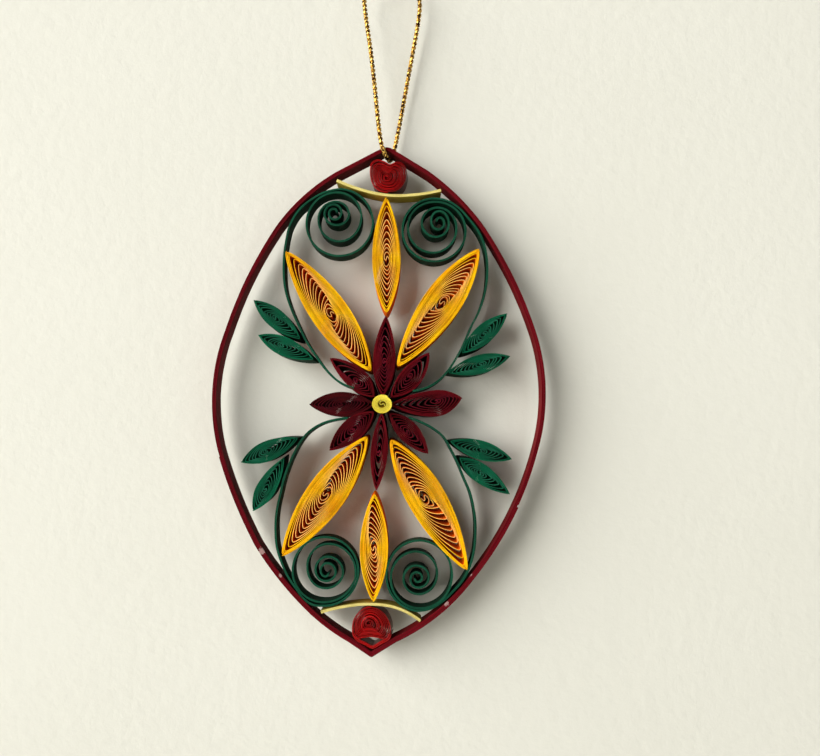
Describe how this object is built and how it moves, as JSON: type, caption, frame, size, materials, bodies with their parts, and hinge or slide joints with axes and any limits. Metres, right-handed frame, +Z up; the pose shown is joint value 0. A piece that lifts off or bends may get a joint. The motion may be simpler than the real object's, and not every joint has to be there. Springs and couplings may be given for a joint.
{
  "type": "quilled paper ornament",
  "caption": "Almond-shaped hanging ornament of rolled and pinched paper strips, with a flower, petals, leaves and open scrolls inside a thin hoop, on a cord loop.",
  "frame": {"origin": "top of the hanging loop, where the cord rests on its hook", "axes": "+X to the viewer's right, +Z up, +Y into the wall behind; the paper strips are centred on Y = 0"},
  "size_m": [0.0786, 0.0082, 0.1664],
  "materials": {
    "hoop_paper": "matt dyed paper, laminated strips seen on edge",
    "yellow_paper": "matt dyed paper",
    "maroon_paper": "matt dyed paper",
    "leaf_paper": "matt dyed paper",
    "vine_paper": "matt dyed paper",
    "bar_paper": "matt dyed paper",
    "red_paper": "slightly glossy dyed paper",
    "lemon_paper": "matt dyed paper",
    "cord_thread": "twisted two-ply thread with a dull metallic sheen"
  },
  "bodies": {
    "root": {"bar_bottom": "bar_paper", "bar_top": "bar_paper", "center_coil": "lemon_paper", "coil_bottom": "red_paper", "coil_top": "red_paper", "flower_petal_bottom": "maroon_paper", "flower_petal_left": "maroon_paper", "flower_petal_lower_left": "maroon_paper", "flower_petal_lower_right": "maroon_paper", "flower_petal_right": "maroon_paper", "flower_petal_top": "maroon_paper", "flower_petal_upper_left": "maroon_paper", "flower_petal_upper_right": "maroon_paper", "frame_band": "hoop_paper", "frame_wrap_lower": "hoop_paper", "frame_wrap_upper": "hoop_paper", "hanging_cord": "cord_thread", "leaf_lower_left_high": "leaf_paper", "leaf_lower_left_low": "leaf_paper", "leaf_lower_right_high": "leaf_paper", "leaf_lower_right_low": "leaf_paper", "leaf_upper_left_high": "leaf_paper", "leaf_upper_left_low": "leaf_paper", "leaf_upper_right_high": "leaf_paper", "leaf_upper_right_low": "leaf_paper", "petal_bottom": "yellow_paper", "petal_lower_left": "yellow_paper", "petal_lower_right": "yellow_paper", "petal_top": "yellow_paper", "petal_upper_left": "yellow_paper", "petal_upper_right": "yellow_paper", "vine_lower_left": "vine_paper", "vine_lower_right": "vine_paper", "vine_upper_left": "vine_paper", "vine_upper_right": "vine_paper"}
  },
  "joints": []
}
